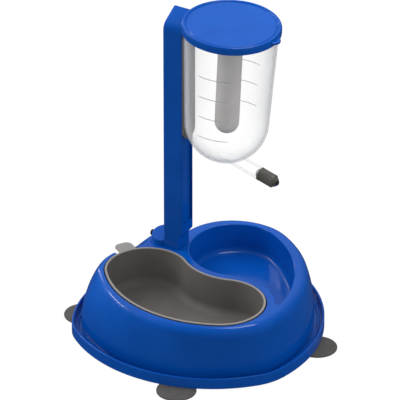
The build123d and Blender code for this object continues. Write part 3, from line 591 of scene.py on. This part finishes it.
def make_spring(name, node, body, start, way, size):
    """Coil spring from its start along its way; its wire ends in points.

    For u from 0 to 1 along the wire, a = 2 pi turns u, v round its section and e = sqrt(1 - (2 u - 1)^200):
    radius = coil radius + wire / 2 * e * cos v, height = (length - wire) * u + wire / 2 * e * sin v.
    """
    length, coil_radius, turns = size
    u = np.linspace(0.0, 1.0, TURN_STEPS * turns + 1)[:, None]
    v = np.linspace(0.0, 2.0 * np.pi, SLIM_STEPS, endpoint=False)[None, :]
    angle = 2.0 * np.pi * turns * u[..., None]
    outwards = np.cos(angle) * LEVEL_SIDE + np.sin(angle) * np.cross(way, LEVEL_SIDE)
    slim = SPRING_WIRE / 2.0 * np.sqrt(1.0 - (2.0 * u - 1.0) ** WIRE_POINT)
    radius = coil_radius + slim * np.cos(v)
    height = (length - SPRING_WIRE) * u + slim * np.sin(v)
    wire = start + height[..., None] * way + radius[..., None] * outwards
    piece = make_piece(name, [wire], False, body, spring_steel)
    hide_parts(node)
    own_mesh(piece)


# Floor, lamps and world
WHITE = (1.0, 1.0, 1.0, 1.0)
FLOOR_SIZE = 6.0
FLOOR_BOARD = ("525252", "555555")
FLOOR_BOUNCE = "9C9C9C"
FLOOR_GLOSS = "2A2A2A"
FLOOR_GLOW = 0.95
FLOOR_GLOSS_GLOW = 0.02


def seen_rays(tree):
    """Two values: 1 for rays from the camera or through clear walls, which see white, and 1 for glossy rays."""
    path = add(tree, "ShaderNodeLightPath").outputs
    return maths(tree, "MAXIMUM", path["Is Camera Ray"], path["Is Transmission Ray"]), path["Is Glossy Ray"]


def floor_material():
    """Matt board that glows white for sight, with a faint shadow.

    It is paler for the matt rays that it lights from below, and dark for glossy rays, so that colours stay deep.
    """
    material, tree, place = start_material("matt_white_board")
    fibre = noise(tree, place, 2.5, detail=2.0)
    board = add(tree, "ShaderNodeBsdfDiffuse", {"Color": tint(tree, fibre, *FLOOR_BOARD)})
    pale = add(tree, "ShaderNodeBsdfDiffuse", {"Color": linear(FLOOR_BOUNCE)})
    bounced = add(tree, "ShaderNodeLightPath").outputs["Is Diffuse Ray"]
    matt = add(tree, "ShaderNodeMixShader", {0: bounced, 1: board.outputs["BSDF"], 2: pale.outputs["BSDF"]})
    dull = add(tree, "ShaderNodeBsdfDiffuse", {"Color": linear(FLOOR_GLOSS)})
    seen, glossy = seen_rays(tree)
    laid = add(tree, "ShaderNodeMixShader", {0: glossy, 1: matt.outputs["Shader"], 2: dull.outputs["BSDF"]})
    level = maths(tree, "MULTIPLY_ADD", seen, FLOOR_GLOW, maths(tree, "MULTIPLY", glossy, FLOOR_GLOSS_GLOW))
    glow = add(tree, "ShaderNodeEmission", {"Color": WHITE, "Strength": level})
    both = add(tree, "ShaderNodeAddShader", {0: laid.outputs["Shader"], 1: glow.outputs["Emission"]})
    return finish_material(material, tree, both.outputs["Shader"])


def lay_floor():
    """Square board under the object, its top at the height that the feet stand on."""
    half = FLOOR_SIZE / 2
    corners = [(-half, -half, 0.0), (half, -half, 0.0), (half, half, 0.0), (-half, half, 0.0)]
    mesh = bpy.data.meshes.new("floor")
    mesh.from_pydata(corners, [], [(0, 1, 2, 3)])
    mesh.materials.append(floor_material())
    board = bpy.data.objects.new("floor", mesh)
    bpy.context.scene.collection.objects.link(board)


# Soft boxes: name, azimuth, elevation, distance, width, height in metres and power in watts
LAMPS = [
    ("left_strip", -88.0, 34.0, 2.4, 1.2, 0.16, 5.0),
    ("back_strip", -118.0, 14.0, 2.0, 0.12, 1.1, 1.5),
    ("top_box", 150.0, 76.0, 0.9, 0.35, 0.35, 1.6),
]
LAMP_AIM = 0.15


def hang_lamp(name, azimuth, elevation, distance, width, height, power):
    """Soft box aimed at the middle of the object."""
    away = towards(azimuth, elevation)
    data = bpy.data.lights.new(name, "AREA")
    data.shape = "RECTANGLE"
    data.size = width
    data.size_y = height
    data.energy = power
    lamp = bpy.data.objects.new(name, data)
    lamp.location = Vector((0.0, 0.0, LAMP_AIM)) + away * distance
    lamp.rotation_euler = (-away).to_track_quat("-Z", "Y").to_euler()
    bpy.context.scene.collection.objects.link(lamp)


# Broad light of the studio's walls, for matt surfaces and for gloss: azimuth, elevation, tightness and strength
WALLS = [
    (-80.0, 36.0, 8.0, 3.2),
    (78.0, 30.0, 4.0, 0.8),
    (165.0, 34.0, 4.0, 1.0),
]
AMBIENT = 0.40
GLOSS_WALLS = [
    (214.0, 34.0, 5.0, 0.34),
    (-80.0, 40.0, 8.0, 0.22),
]
GLOSS_LEVEL = 0.015


def wall_light(tree, way, walls, base):
    """Light from a direction: a base, and for each wall strength * (cosine to its middle) ^ tightness."""
    light = base
    for azimuth, elevation, tightness, strength in walls:
        middle = tuple(towards(azimuth, elevation))
        cosine = add(tree, "ShaderNodeVectorMath", {0: way, 1: middle}, operation="DOT_PRODUCT").outputs["Value"]
        lobe = maths(tree, "POWER", maths(tree, "MAXIMUM", cosine, 0.0), tightness)
        light = maths(tree, "MULTIPLY_ADD", lobe, strength, light)
    return light


def light_world():
    """Studio that is white for sight and through clear walls; matt surfaces and gloss each get their own walls."""
    world = bpy.data.worlds.new("studio")
    bpy.context.scene.world = world
    world.use_nodes = True
    tree = world.node_tree
    tree.nodes.clear()
    seen, glossy = seen_rays(tree)
    way = add(tree, "ShaderNodeTexCoord").outputs["Generated"]
    matt = wall_light(tree, way, WALLS, AMBIENT)
    sheen = wall_light(tree, way, GLOSS_WALLS, GLOSS_LEVEL)
    # Sockets 2, 3 and 0 are the mix node's first number, second number and result
    soft = add(tree, "ShaderNodeMix", {0: glossy, 2: matt, 3: sheen}, data_type="FLOAT").outputs[0]
    sky = add(tree, "ShaderNodeBackground", {"Color": WHITE, "Strength": maths(tree, "ADD", seen, soft)})
    add(tree, "ShaderNodeOutputWorld", {"Surface": sky.outputs["Background"]})


place_camera()
dress_nodes()
make_lid()
make_level_marks()
make_nozzle_cap()
make_spring("latch_coil", "latch_spring", "latch", LATCH_SPRING_START, LATCH_SPRING_WAY, LATCH_SPRING_SIZE)
make_spring("valve_coil", "valve_spring", "bottle", VALVE_SPRING_START, SPOUT_WAY, VALVE_SPRING_SIZE)
lay_floor()
light_world()
for lamp in LAMPS:
    hang_lamp(*lamp)
bpy.context.scene.view_settings.view_transform = "Standard"
